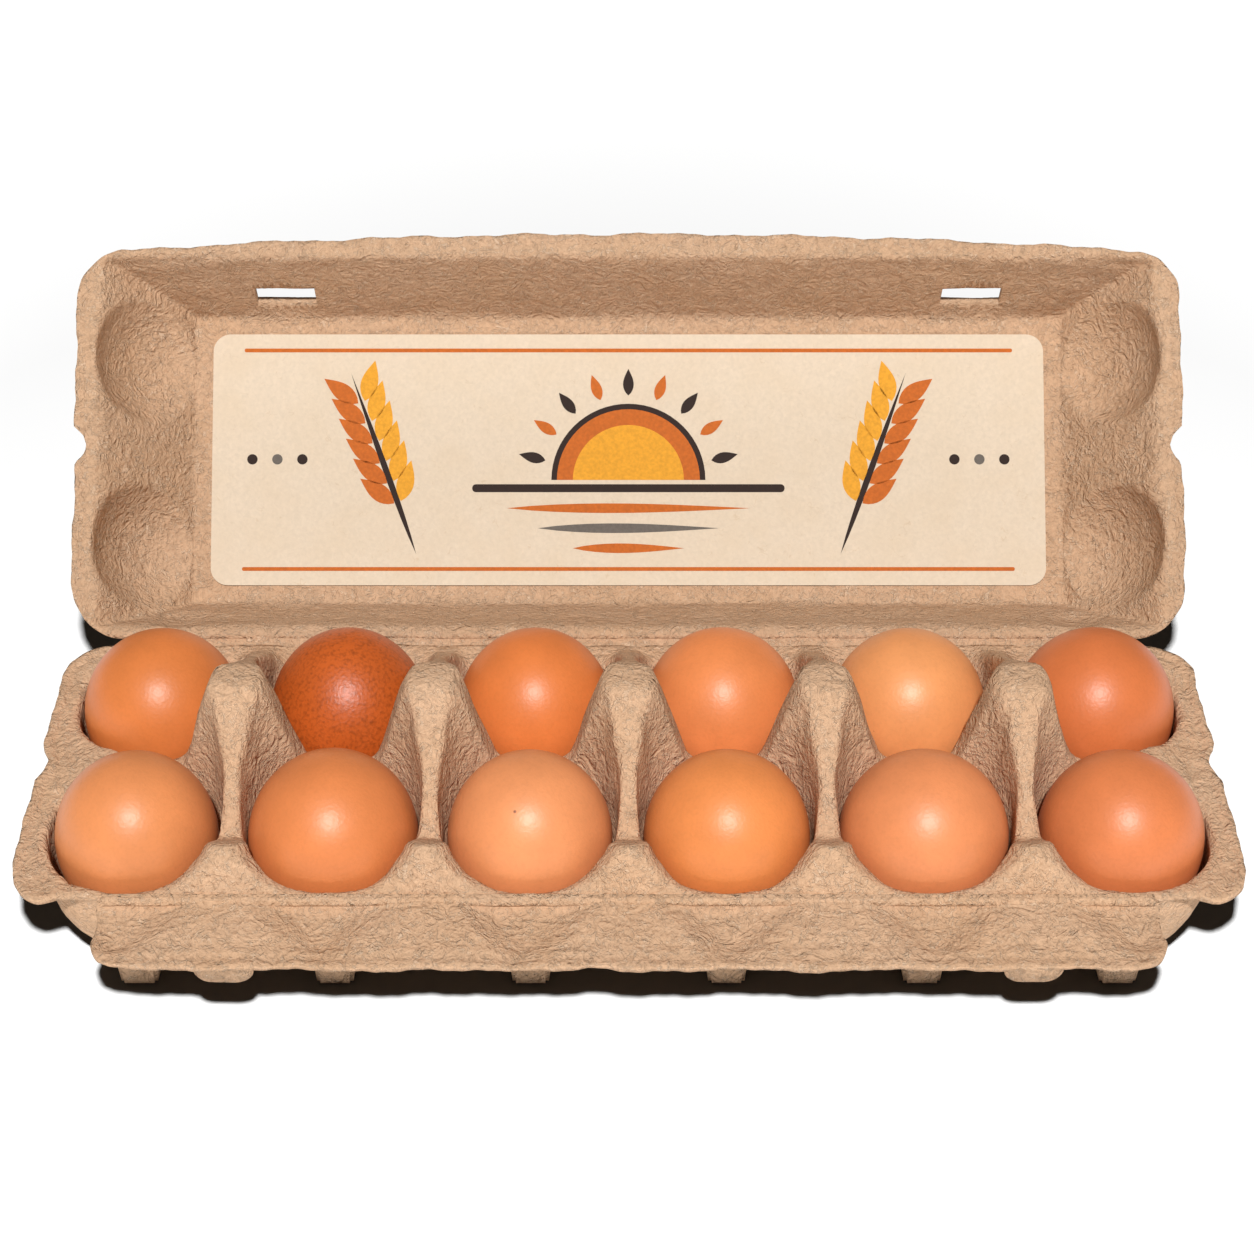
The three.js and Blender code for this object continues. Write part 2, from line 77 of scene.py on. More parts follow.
RIB_HALF = ([0, 0.004, 0.009, 0.016, 0.060], [0.00675, 0.0062, 0.0042, 0.0034, 0.003])
RIB_GROOVE = (0.0008, 0.0007, 0.003)  # depth, half its width, distance from the post's line
GROOVE_START = (0.006, 0.004)  # where the groove sets in and how far it takes to its full depth
LOW_LAND = 0.012  # the land drops below the rim only this near the middle line

# Outline of the tray
END_X = 0.154
FRONT_EDGE = ([0, 0.131, 0.133, 0.141, 0.145], [0.0505, 0.0505, 0.0498, 0.0498, 0.0526])
BACK_EDGE = 0.0500
CORNER_R = 0.013
END_NOTCH = 0.0022  # depth of the shallow notch half way along each end
END_NOTCH_HALF = 0.007
EDGE_WAVE = 0.00028
EDGE_WAVES = ((1, 170, 0), (0.7, 430, 1.3), (0.35, 1170, 4))  # share, radians in a metre, start
RIM_CREASES = ((0.0030, 0.0009, 0.0011), (0.0068, 0.0013, 0.0007))  # inset, half width, depth
CREASED_ENDS = (0.143, 0.004)  # where the tray's creases set in and how far they take to their depth

# Feet
FOOT_HALF_X = 0.0058
FOOT_HALF_Y = 0.0217
FOOT_TAPER = 0.0012  # how far a foot narrows towards the ground
FOOT_SINK = 0.0006  # how far its upper side lies inside the wall of the cup
FOOT_BEVEL = 0.0009
FOOT_POINTS = 13

# Lid, closed: y is 0 at the hinge and negative towards the front, z up from the rim
HINGE_Y = 0.0505
HINGE_Z = 0.0371
LID_OPENING = math.radians(132.6)
LID_LENGTH = 0.114
LID_BOW = 0.0045  # how far the front edge bows out in the middle
LID_CORNER_R = 0.0145
LID_GAP = 0.00035
LID_DEPTH = 0.0293
LID_WALL = 0.0019
LID_OPEN_X = 0.147
LID_PANEL_X = 0.125
LID_HINGE_WALL = (0.0037, 0.0129)  # distance from the hinge at the rim and at the panel
LID_FRONT_WALL = (0.1074, 0.0963)
PANEL_MIDDLE = (LID_HINGE_WALL[1] + LID_FRONT_WALL[1]) / 2
POCKET_X = 0.125
POCKET_OFFSET = 0.0263
POCKET_MIDDLE = 0.054
POCKET_RADII = (0.0235, 0.024, 0.0285)  # along X, along Y, depth
LID_NOTCH = (0.010, 0.0034)  # width, depth
SLOT_X = 0.098
SLOT = (0.017, 0.012, 0.0076)  # width, depth through the front wall, height up it
SLOT_H = 0.019
SLOT_CORNER_R = 0.0005

# Label
LABEL = (0.240, 0.073, 0.005, 0.00035)  # width, height, corner radius, thickness
LABEL_GAP = 0.0003
INK_DEPTH = 0.00007

# Print on the label, with y = 0 along its middle: sun, rays, ground, furrows, ears of grain, border
SUN_AT = (0, -0.006)
SUN_RINGS = (0.0160, 0.0206, 0.0222)
RAYS = (9, 0.0246, 0.0078, 0.0031)  # count, distance from the sun's middle, length, width
GROUND = (0.090, 0.0023, 0.0024)  # length, width, distance below the sun's middle
FURROWS = (0.070, 0.052, 0.032)
FURROW_WIDTH = 0.0028
FURROW_SPACING = 0.0058
EAR_AT = (0.061, -0.0275)
EAR_LEAN = 20
EAR_STEM = (0.056, 0.0018)  # length, width
GRAINS = (6, 0.016, 0.0062, 0.0122, 0.0050)  # pairs, first, spacing, length, width
GRAIN_OFFSET = 0.0010
GRAIN_TURN = 34
BORDER = (0.222, 0.0011, 0.0318)  # length, width, distance from the middle
DOTS = (0.094, 0.0072, 0.0015)  # distance of the first, spacing, radius

# Flap, unfolded flat: y is 0 at its fold and negative outward
FLAP_HINGE_Y = -0.051
FLAP_HINGE_Z = 0.0355
FLAP_DROOP = math.radians(8)
FLAP_HALF_X = 0.131
FLAP_WIDTH = 0.021
FLAP_WALL = 0.0017
FOLD_GAP = 0.00045
FLAP_CORNER_R = 0.009
FLAP_RECESS = 0.0028  # depth of the hollow in front of each cup
RECESS_HALF = 0.019  # half its width at the fold
RECESS_NARROWING = 0.7  # how much of its half width goes with each unit of length outward
RECESS_SIDES = (0.0025, 0.009, 0.009)  # run of its slopes at the fold, at its sides and outward
TONGUE_X = 0.098
TONGUE = (0.0146, 0.0054, 0.0018)  # width, drop below the flap, thickness
TONGUE_R = 0.0046
TONGUE_INSET = 0.0004
TONGUE_TOP = 0.0004  # how far its top lies below the flap's upper side
TONGUE_BEVEL = 0.0004

# Folds: sections from the tray's edge to the lid or flap, as (y, z) points in the carton's own frame
LID_FOLD = [
    (0.0493, 0.03545), (0.0502, 0.0356), (0.0509, 0.0365), (0.05165, 0.03761),
    (0.05282, 0.03652), (0.0522, 0.0354), (0.0512, 0.0343), (0.0493, 0.03385),
]
LID_FOLD_HALF_X = 0.135
FLAP_FOLD = [
    (-0.0494, 0.03385), (-0.0508, 0.03395), (-0.0522, 0.0339), (-0.0528, 0.0347), (-0.0521, 0.03575),
    (-0.0515, 0.0362), (-0.0510, 0.0359), (-0.0505, 0.03635), (-0.0494, 0.0355),
]
FLAP_FOLD_HALF_X = 0.1295

# Eggs, blunt end up
EGG_WIDEST_Z = 0.0327
EGG_BLUNT = 0.023
EGG_POINTED = 0.0296
EGG_TAPER = 0.09  # narrows the pointed end against a plain ellipse
EGG_TAPER_POWER = 1.5
EGG_WIDTHS = {
    "front": [0.0411, 0.0432, 0.0419, 0.0424, 0.0430, 0.0421],
    "back": [0.0420, 0.0423, 0.0418, 0.0421, 0.0417, 0.0429],
}

# Meshes: (spacing along the borders, rings on the upper and the lower side) of each shell
TRAY_MESH = (0.0016, (40, 26))
LID_MESH = (0.0016, (30, 36))
FLAP_MESH = (0.0012, (12, 8))
RAY_SAMPLES = 420  # points on each ray, from which its rings are spaced
SNAP_REACH = 1.6  # how far beyond a cell's border the outline is looked for
SNAP_STEPS = 36
EGG_SIDES = 80
EGG_STEPS = 56
FOLD_STATIONS = 220

# Unevenness of the surfaces: rounds of softening, and lumps as (size, height) pairs
SHELL_SOFTENING = 4
FLAP_SOFTENING = 2
EDGE_STIFFNESS = 0.003  # near the outline the softening grows over this distance
EDGE_SHARE = 0.12  # from this share of its full strength
TRAY_LUMPS = ((0.011, 0.0005), (0.0045, 0.00024))
LID_LUMPS = ((0.012, 0.0003), (0.0045, 0.00014))
FLAP_LUMPS = ((0.010, 0.0004), (0.0045, 0.00015))
FOLD_LUMPS = ((0.008, 0.00012), (0.003, 0.0001))
EGG_LUMPS = ((0.030, 0.0002),)

# Colours as photographed, in sRGB values, and the level at which a white card facing the key light shows
WHITE_CARD = 1.25
PULP_COLOUR = (222, 183, 149)
PULP_CLOUD = (214, 170, 130)
PULP_LIGHT = (252, 224, 194)
PULP_DARK = (146, 100, 66)
PULP_SPECK = (110, 72, 46)
PULP_RELIEF = 0.00075
# Painted light and shade on the pulp, one factor for each part: the tray and flap are painted lighter and
# the lid darker, as the key light falls on them, though all are one pulp
TRAY_PAINTED_LIGHT = 1.10
LID_PAINTED_SHADE = 0.97
FLAP_PAINTED_LIGHT = 1.09
PAPER_COLOUR = (236, 218, 194)
PAPER_CLOUD = (230, 208, 178)
PAPER_FIBRE = (206, 178, 142)
INKS = {
    "amber": (240, 168, 44),
    "orange": (206, 106, 30),
    "dark": (46, 28, 20),
    "grey": (112, 104, 96),
}
SHELL_COLOURS = {
    "front": [(239, 151, 93), (236, 141, 82), (248, 160, 104),
              (246, 150, 84), (243, 152, 98), (235, 137, 83)],
    "back": [(232, 134, 70), (208, 98, 36), (239, 135, 70),
             (245, 147, 86), (249, 166, 104), (228, 127, 72)],
}
FRECKLE_COLOUR = (150, 72, 34)
SPOT_COLOUR = (92, 40, 22)

# The dark and mottled egg, the freckled one and the one with a dark spot, by row and column
DARK_EGG = ("back", 1)
FRECKLED_EGG = ("back", 4)
SPOTTED_EGG = ("front", 2)
SPOT = (-0.0031, -0.0118, 0.0189)
MOTTLE = 0.12
DARK_MOTTLE = 0.8
FRECKLES = 0.06

# Key light on all but the floor, and the sky
KEY_AT = (0, -1, 1.4)
KEY_ELEVATION = math.radians(53.5)
KEY_TURN = math.radians(1.0)
KEY_ANGLE = math.radians(3.0)
SKY = 0.14
SKY_COLOUR = (1.0, 0.86, 0.70, 1)

# Floor: its own light, how white it shows, and its (distance, colour) near the carton and far from it
FLOOR_HALF = 4
FLOOR_LIGHT_AT = (0, -0.582, 0.750)
FLOOR_LIGHT_RADIUS = 0.020
FLOOR_WHITE = 1.45
FLOOR_NEAR = (0.3, 0.08)
FLOOR_FAR = (1.2, 0.20)

# Camera, worked out from the columns, rows, rim and lid in the photograph
CAMERA_AT = (-0.0004, -0.5314, 0.4895)
CAMERA_PITCH = math.radians(90 - 37.588)
CAMERA_LENS = 76.7

# The carton's own frame has y = 0 between the rows; the CAD frame is moved from it along Y.
hinge_at = next(joint for joint in frame["joints"] if joint["name"] == "lid_hinge")["pos_m"]
ORIGIN = Vector((0, hinge_at[1] - HINGE_Y, 0))


def profile(pairs, distance):
    return np.interp(distance, pairs[0], pairs[1])


def column_x(column):
    return (column - (COLUMNS - 1) / 2) * PITCH


def nearest_column(x):
    return column_x(np.clip(np.round(x / PITCH + (COLUMNS - 1) / 2), 0, COLUMNS - 1))


def cup_height(dx, dy):
    total = np.abs(dx / CUP_HALF_X) ** CUP_POWER + np.abs(dy / CUP_HALF_Y) ** CUP_POWER
    reach = total ** (1 / CUP_POWER)
    depth = CUP_WIDEST_Z - CUP_FLOOR_Z
    bowl = CUP_WIDEST_Z - depth * np.sqrt(1 - np.minimum(reach, CUP_KNEE) ** 2)
    return bowl + np.maximum(reach - CUP_KNEE, 0) * CUP_HALF_X * CUP_DRAFT


def post_side(across, y):
    """The side of a post: down from its rib to the edge of the cup, with a groove beside the rib."""
    along = np.abs(y)
    share = np.maximum(0, 1 - np.abs((along - ROW_Y) / CUP_HALF_Y) ** CUP_POWER)
    cup_edge = PITCH / 2 - CUP_HALF_X * share ** (1 / CUP_POWER)
    rib = np.minimum(profile(RIB_HALF, along), cup_edge - 0.0001)
    top = np.where(y < 0, profile(SPINE_FRONT, along), profile(SPINE_BACK, along))
    down = np.clip((across - rib) / (cup_edge - rib), 0, 1)
    depth, half, from_line = RIB_GROOVE
    start, run = GROOVE_START
    groove = depth * np.exp(-((across - from_line - half) / half) ** 2)
    groove = groove * np.clip((along - start) / run, 0, 1)
    return top + (CUP_WIDEST_Z - top) * down - groove


def land_height(x, y):
    across = np.abs(x[..., None] - POST_LINES).min(-1)
    along = np.abs(y)
    is_end_middle = (across > PITCH / 2) & (along < LOW_LAND)
    side = np.where(is_end_middle, np.inf, post_side(across, y))
    ridge = np.minimum(profile(POST_ACROSS, across), side)
    peak = np.minimum(profile(PEAK_ACROSS, across), profile(PEAK_ALONG, along))
    outer = np.where(along > LOW_LAND, np.where(y < 0, np.maximum(peak, RIM_Z), RIM_Z), 0)
    return np.maximum(ridge, outer)


def crease(room):
    """The shallow creases that run round a moulded rim, a little way in from its edge."""
    return sum(depth * np.exp(-((room - inset) / half) ** 2) for inset, half, depth in RIM_CREASES)


def tray_top(x, y):
    cup = cup_height(x - nearest_column(x), y - np.where(y < 0, -ROW_Y, ROW_Y))
    start, run = CREASED_ENDS
    near_end = np.clip((np.abs(x) - start) / run, 0, 1)
    return np.minimum(land_height(x, y) - crease(tray_room(x, y)) * near_end, cup)


def offset_surface(height, wall, side):
    """The surface one wall thickness away from another: side -1 below it, +1 above it."""
    steps = [(0.0, 0.0)]
    for radius in WALL_SAMPLES:
        for turn in range(8):
            angle = turn * math.pi / 4
            steps.append((radius * wall * math.cos(angle), radius * wall * math.sin(angle)))

    def offset(x, y):
        reach = [side * height(x + a, y + b) + math.sqrt(wall * wall - a * a - b * b) for a, b in steps]
        return side * np.max(reach, axis=0)

    return offset


def wave(along):
    """A gentle unevenness of a moulded edge."""
    waves = sum(share * np.sin(along * turns + start) for share, turns, start in EDGE_WAVES)
    return EDGE_WAVE * waves


def corner_room(room_x, room_y, radius):
    """Room to a rounded corner, from the room to its two sides."""
    curved = radius - np.hypot(radius - room_x, radius - room_y)
    return np.where((room_x < radius) & (room_y < radius), curved, np.minimum(room_x, room_y))


def tray_room(x, y):
    notch = END_NOTCH * np.maximum(0, 1 - (y / END_NOTCH_HALF) ** 2)
    end_x = END_X - notch + wave(y + np.sign(x))
    side_y = np.where(y < 0, profile(FRONT_EDGE, np.abs(x)), BACK_EDGE)
    return corner_room(end_x - np.abs(x), side_y - np.abs(y), CORNER_R)


def lid_room(x, y):
    along = -y
    bow = LID_BOW * (1 - (x / (END_X - LID_CORNER_R)) ** 2)
    front = LID_LENGTH - LID_BOW + np.maximum(bow, 0) + wave(x)
    width, depth = LID_NOTCH
    from_notch = (along - (LID_LENGTH - LID_BOW) / 2) / (width / 2)
    notch = depth * np.maximum(0, 1 - from_notch ** 2)
    room_x = END_X - notch + wave(y + 2 * np.sign(x)) - np.abs(x)
    far = corner_room(room_x, front - along, LID_CORNER_R)
    return np.minimum(far, corner_room(room_x, along - FOLD_GAP, LID_CORNER_R))


def flap_room(x, y):
    edge = FLAP_WIDTH + 1.2 * wave(x)
    room_x = FLAP_HALF_X + wave(y) - np.abs(x)
    return np.minimum(corner_room(room_x, edge + y, FLAP_CORNER_R), -y - FOLD_GAP)


def lid_inside(x, y):
    along = -y
    hinge_share = (along - LID_HINGE_WALL[0]) / (LID_HINGE_WALL[1] - LID_HINGE_WALL[0])
    front_share = (along - LID_FRONT_WALL[0]) / (LID_FRONT_WALL[1] - LID_FRONT_WALL[0])
    end_share = (LID_OPEN_X - np.abs(x)) / (LID_OPEN_X - LID_PANEL_X)
    share = np.clip(np.minimum(np.minimum(hinge_share, front_share), end_share), 0, 1)
    hollow = (LID_DEPTH - LID_GAP) * share
    from_pocket = np.abs(along - POCKET_MIDDLE) - POCKET_OFFSET
    in_pocket = (1 - ((np.abs(x) - POCKET_X) / POCKET_RADII[0]) ** 2
                 - (from_pocket / POCKET_RADII[1]) ** 2)
    pocket = POCKET_RADII[2] * np.sqrt(np.maximum(in_pocket, 0))
    return LID_GAP + np.maximum(hollow, pocket) + crease(lid_room(x, y))


def flap_top(x, y):
    from_column = np.abs(x - nearest_column(x))
    fold_run, side_run, outer_run = RECESS_SIDES
    sideways = np.clip((RECESS_HALF + RECESS_NARROWING * y - from_column) / side_run, 0, 1)
    along = np.minimum(np.minimum(-y / fold_run, (FLAP_WIDTH + y) / outer_run), 1)
    return -FLAP_RECESS * sideways * np.maximum(along, 0) - 0.5 * crease(FLAP_WIDTH + y)


def flap_underside(x, y):
    return flap_top(x, y) - FLAP_WALL


def snap_to_edge(start, end, room):
    """Where the line from start through end crosses the outline."""
    inside = np.zeros(len(end))
    outside = np.full(len(end), SNAP_REACH)
    for _ in range(SNAP_STEPS):
        middle = (inside + outside) / 2
        points = start + (end - start) * middle[:, None]
        is_inside = room(points[:, 0], points[:, 1]) > 0
        inside = np.where(is_inside, middle, inside)
        outside = np.where(is_inside, outside, middle)
    return start + (end - start) * inside[:, None]


def cell_border(corners, is_open, centre, room, spacing):
    """Points round a cell's border, brought to the outline on the sides that are open."""
    points, snaps, on_outline = [], [], []
    for side in range(4):
        a = np.array(corners[side])
        b = np.array(corners[(side + 1) % 4])
        count = max(4, 2 * round(float(np.linalg.norm(b - a)) / spacing / 2))
        for k in range(count):
            points.append(a + (b - a) * k / count)
            snaps.append(is_open[side] and (k > 0 or is_open[side - 1]))
            on_outline.append(is_open[side])
    points = np.array(points)
    snaps = np.array(snaps)
    points[snaps] = snap_to_edge(np.array(centre), points[snaps], room)
    return points, on_outline


def cell_rings(centre, border, height, count):
    """Points on a surface from a cell's centre to its border, spaced evenly along each ray."""
    fine = np.linspace(0, 1, RAY_SAMPLES)
    centre = np.array(centre)
    rays = border - centre
    x = centre[0] + rays[:, :1] * fine
    y = centre[1] + rays[:, 1:] * fine
    z = height(x, y)
    run = np.hypot(*(rays.T))[:, None] * fine[1]
    steps = np.hypot(np.diff(z, axis=1), run)
    lengths = np.concatenate([np.zeros((len(rays), 1)), np.cumsum(steps, axis=1)], axis=1)
    rings = []
    for ray, length in enumerate(lengths):
        at = np.interp(np.linspace(0, length[-1], count + 1)[1:], length, fine)
        at[-1] = 1
        rings.append(centre + rays[ray] * at[:, None])
    rings = np.array(rings)
    return np.dstack([rings, height(rings[..., 0], rings[..., 1])])


def ring_faces(rings, first, flip):
    """Vertices and faces of one cell: a fan round the middle, then quads out to the border."""
    rays, count, _ = rings.shape
    faces = []
    for ray in range(rays):
        here = first + 1 + ray * count
        there = first + 1 + ((ray + 1) % rays) * count
        faces.append((first, here, there))
        for k in range(count - 1):
            faces.append((here + k, here + k + 1, there + k + 1, there + k))
    return [tuple(reversed(face)) for face in faces] if flip else faces


def cell_centre(xs, ys, i, j):
    """The middle of a cell. In the carton's columns it is the cup's centre, also at the longer ends."""
    x = column_x(i) if len(xs) == COLUMNS + 1 else (xs[i] + xs[i + 1]) / 2
    return x, (ys[j] + ys[j + 1]) / 2


def shell_mesh(name, xs, ys, upper, lower, room, spacing, counts):
    """A closed shell over cells between the x and y lines, cut to the outline where room is 0."""
    verts, faces = [], []
    for i in range(len(xs) - 1):
        for j in range(len(ys) - 1):
            is_open = (j == 0, i == len(xs) - 2, j == len(ys) - 2, i == 0)
            centre = cell_centre(xs, ys, i, j)
            corners = cell_corners(xs[i], xs[i + 1], ys[j], ys[j + 1], is_open, centre, room)
            border, on_outline = cell_border(corners, is_open, centre, room, spacing)
            bands = []
            for height, count, flip in ((upper, counts[0], False), (lower, counts[1], True)):
                rings = cell_rings(centre, border, height, count)
                middle = height(np.array([centre[0]]), np.array([centre[1]]))[0]
                first = len(verts)
                verts.append((*centre, middle))
                verts.extend(map(tuple, rings.reshape(-1, 3)))
                faces.extend(ring_faces(rings, first, flip))
                bands.append([first + (ray + 1) * count for ray in range(len(border))])
            faces.extend(edge_faces(bands, on_outline))
    return welded_object(name, verts, faces)


def cell_corners(x0, x1, y0, y1, is_open, centre, room):
    """The cell's four corners. One where the outline crosses an inner line is set on that crossing."""
    corners = []
    for x, y, side_y, side_x in ((x0, y0, 0, 3), (x1, y0, 0, 1), (x1, y1, 2, 1), (x0, y1, 2, 3)):
        start, end = np.array([x, y]), np.array([[x, y]], dtype=float)
        if is_open[side_y] and not is_open[side_x]:
            start = np.array([x, centre[1]])
            end = snap_to_edge(start, end, room)
        elif is_open[side_x] and not is_open[side_y]:
            start = np.array([centre[0], y])
            end = snap_to_edge(start, end, room)
        corners.append(tuple(end[0]))
    return corners


def edge_faces(bands, on_outline):
    """The shell's edge: quads between its two surfaces along the outline."""
    faces = []
    for k, is_edge in enumerate(on_outline):
        following = (k + 1) % len(on_outline)
        if is_edge:
            faces.append((bands[0][k], bands[1][k], bands[1][following], bands[0][following]))
    return faces


def welded_object(name, verts, faces):
    mesh = bpy.data.meshes.new(name)
    mesh.from_pydata(verts, [], faces)
    work = bmesh.new()
    work.from_mesh(mesh)
    bmesh.ops.remove_doubles(work, verts=work.verts, dist=2e-6)
    work.to_mesh(mesh)
    work.free()
    return linked(name, mesh)


def linked(name, mesh):
    obj = bpy.data.objects.new(name, mesh)
    bpy.context.scene.collection.objects.link(obj)
    mesh.shade_smooth()
    return obj


def apply_modifiers(obj):
    depsgraph = bpy.context.evaluated_depsgraph_get()
    mesh = bpy.data.meshes.new_from_object(obj.evaluated_get(depsgraph))
    obj.modifiers.clear()
    old = obj.data
    obj.data = mesh
    mesh.name = old.name
    bpy.data.meshes.remove(old)


def boolean(obj, others, operation):
    """Joins or cuts obj with each of the others, which are used up."""
    for other in others:
        modifier = obj.modifiers.new("boolean", "BOOLEAN")
        modifier.operation = operation
        modifier.solver = "MANIFOLD"
        modifier.object = other
        apply_modifiers(obj)
        bpy.data.objects.remove(other)


def soften(obj, rounds, room):
    """Rounds off the moulded edges, and the cut edge of the outline less than the rest."""
    inner = obj.vertex_groups.new(name="inner")
    for vertex in obj.data.vertices:
        from_edge = float(room(np.array(vertex.co.x), np.array(vertex.co.y)))
        share = min(max(from_edge / EDGE_STIFFNESS, EDGE_SHARE), 1)
        inner.add([vertex.index], share, "REPLACE")
    modifier = obj.modifiers.new("soften", "SMOOTH")
    modifier.factor = 0.5
    modifier.iterations = rounds
    modifier.vertex_group = "inner"
    apply_modifiers(obj)


def felt_relief(obj, seed, lumps):
    """Uneven pulp: each (size, height) pair adds lumps of that size along the surface's normal."""
    offset = Vector((seed * 3.1, seed * 1.7, seed * 0.9))
    vertices = obj.data.vertices
    points = np.empty(len(vertices) * 3)
    vertices.foreach_get("co", points)
    points = points.reshape(-1, 3)
    for index, vertex in enumerate(vertices):
        rise = sum(height * noise.noise(vertex.co / size + offset) for size, height in lumps)
        points[index] += np.array(vertex.normal) * rise
    vertices.foreach_set("co", points.ravel())
    obj.data.update()


def place(obj, turn, at):
    """Turns a piece about X from its own flat frame and sets it in the CAD frame."""
    obj.data.transform(Matrix.Translation(ORIGIN + Vector(at)) @ Matrix.Rotation(turn, 4, "X"))
    obj.data.shade_smooth()


def prism(name, outline, depth):
    """A closed prism of a flat outline in the XY plane, raised by depth."""
    count = len(outline)
    verts = [(x, y, 0) for x, y in outline] + [(x, y, depth) for x, y in outline]
    sides = [(k, (k + 1) % count, (k + 1) % count + count, k + count) for k in range(count)]
    faces = [tuple(reversed(range(count))), tuple(range(count, 2 * count)), *sides]
    mesh = bpy.data.meshes.new(name)
    mesh.from_pydata(verts, [], faces)
    return linked(name, mesh)


def foot(column, row):
    """A foot under a cup: its upper side runs inside the cup's wall."""
    upper = FOOT_HALF_Y * np.sin(np.linspace(math.pi / 2, -math.pi / 2, FOOT_POINTS))
    heights = cup_height(np.zeros(FOOT_POINTS), upper) - FOOT_SINK
    outline = [(-FOOT_HALF_Y + FOOT_TAPER, 0), (FOOT_HALF_Y - FOOT_TAPER, 0), *zip(upper, heights)]
    obj = prism("foot", outline, 2 * FOOT_HALF_X)
    for vertex in obj.data.vertices:
        y, z, x = vertex.co
        narrow = FOOT_TAPER / FOOT_HALF_X if z < 1e-5 else 0
        vertex.co = (column_x(column) + (x - FOOT_HALF_X) * (1 - narrow), row * ROW_Y + y, z)
    work = bmesh.new()
    work.from_mesh(obj.data)
    bmesh.ops.bevel(work, geom=work.edges, offset=FOOT_BEVEL, segments=2, affect="EDGES")
    bmesh.ops.recalc_face_normals(work, faces=work.faces)
    work.to_mesh(obj.data)
    work.free()
    return obj


def make_tray():
    xs = [-END_X, *POST_LINES, END_X]
    ys = [-max(FRONT_EDGE[1]), 0, BACK_EDGE]
    underside = offset_surface(tray_top, WALL, -1)
    tray = shell_mesh("pulp_tray", xs, ys, tray_top, underside, tray_room, *TRAY_MESH)
    soften(tray, SHELL_SOFTENING, tray_room)
    felt_relief(tray, 1, TRAY_LUMPS)
    feet = [foot(column, row) for column in range(COLUMNS) for row in (-1, 1)]
    boolean(tray, feet, "UNION")
    place(tray, 0, (0, 0, 0))
    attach(tray, "tray")
    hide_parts("tray")
    return tray


def slot_cutter(side):
    """The space of a lock slot through the lid's front wall."""
    wall_y = LID_FRONT_WALL[0] + (LID_FRONT_WALL[1] - LID_FRONT_WALL[0]) * SLOT_H / LID_DEPTH
    width, depth, height = SLOT
    outline = rounded_rectangle(width, depth, SLOT_CORNER_R, 2)
    cutter = prism("slot", [(x + side * SLOT_X, y - wall_y) for x, y in outline], height)
    cutter.data.transform(Matrix.Translation((0, 0, SLOT_H - height / 2)))
    return cutter


def make_lid():
    xs = [-END_X, *POST_LINES, END_X]
    outside = offset_surface(lid_inside, LID_WALL, 1)
    ys = [-LID_LENGTH, -LID_LENGTH / 2, -FOLD_GAP]
    lid = shell_mesh("pulp_lid", xs, ys, outside, lid_inside, lid_room, *LID_MESH)
    soften(lid, SHELL_SOFTENING, lid_room)
    felt_relief(lid, 2, LID_LUMPS)
    boolean(lid, [slot_cutter(-1), slot_cutter(1)], "DIFFERENCE")
    place(lid, -LID_OPENING, (0, HINGE_Y, HINGE_Z))
    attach(lid, "lid")
    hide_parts("lid")
    return lid


def rounded_rectangle(width, height, radius, steps):
    points = []
    corners = ((1, -1, -90), (1, 1, 0), (-1, 1, 90), (-1, -1, 180))
    for sx, sy, start in corners:
        for step in range(steps + 1):
            angle = math.radians(start + 90 * step / steps)
            x = sx * (width / 2 - radius) + radius * math.cos(angle)
            y = sy * (height / 2 - radius) + radius * math.sin(angle)
            points.append((x, y))
    return points


def tongue(side):
    """A lock tongue: a small plate that turns down from the flap's free edge."""
    width, drop, thickness = TONGUE
    outline = rounded_rectangle(width, 2 * (drop + FLAP_WALL), TONGUE_R, 6)
    piece = prism("tongue", outline, thickness)
    piece.data.transform(Matrix.Rotation(math.pi / 2, 4, "X"))
    outer_y = -FLAP_WIDTH + TONGUE_INSET
    piece.data.transform(Matrix.Translation((side * TONGUE_X, outer_y + thickness, 0)))
    work = bmesh.new()
    work.from_mesh(piece.data)
    cut = bmesh.ops.bisect_plane(work, geom=work.verts[:] + work.edges[:] + work.faces[:],
                                 plane_co=(0, 0, -TONGUE_TOP), plane_no=(0, 0, 1), clear_outer=True)
    rim = [item for item in cut["geom_cut"] if isinstance(item, bmesh.types.BMEdge)]
    bmesh.ops.edgeloop_fill(work, edges=rim)
    bmesh.ops.bevel(work, geom=work.edges, offset=TONGUE_BEVEL, segments=2, affect="EDGES")
    bmesh.ops.recalc_face_normals(work, faces=work.faces)
    work.to_mesh(piece.data)
    work.free()
    return piece


def make_flap():
    xs = list(np.linspace(-FLAP_HALF_X, FLAP_HALF_X, 13))
    ys = [-FLAP_WIDTH, -FOLD_GAP]
    flap = shell_mesh("pulp_flap", xs, ys, flap_top, flap_underside, flap_room, *FLAP_MESH)
    boolean(flap, [tongue(-1), tongue(1)], "UNION")
    soften(flap, FLAP_SOFTENING, flap_room)
    felt_relief(flap, 3, FLAP_LUMPS)
    place(flap, FLAP_DROOP, (0, FLAP_HINGE_Y, FLAP_HINGE_Z))
    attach(flap, "flap")
    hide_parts("flap")
    return flap


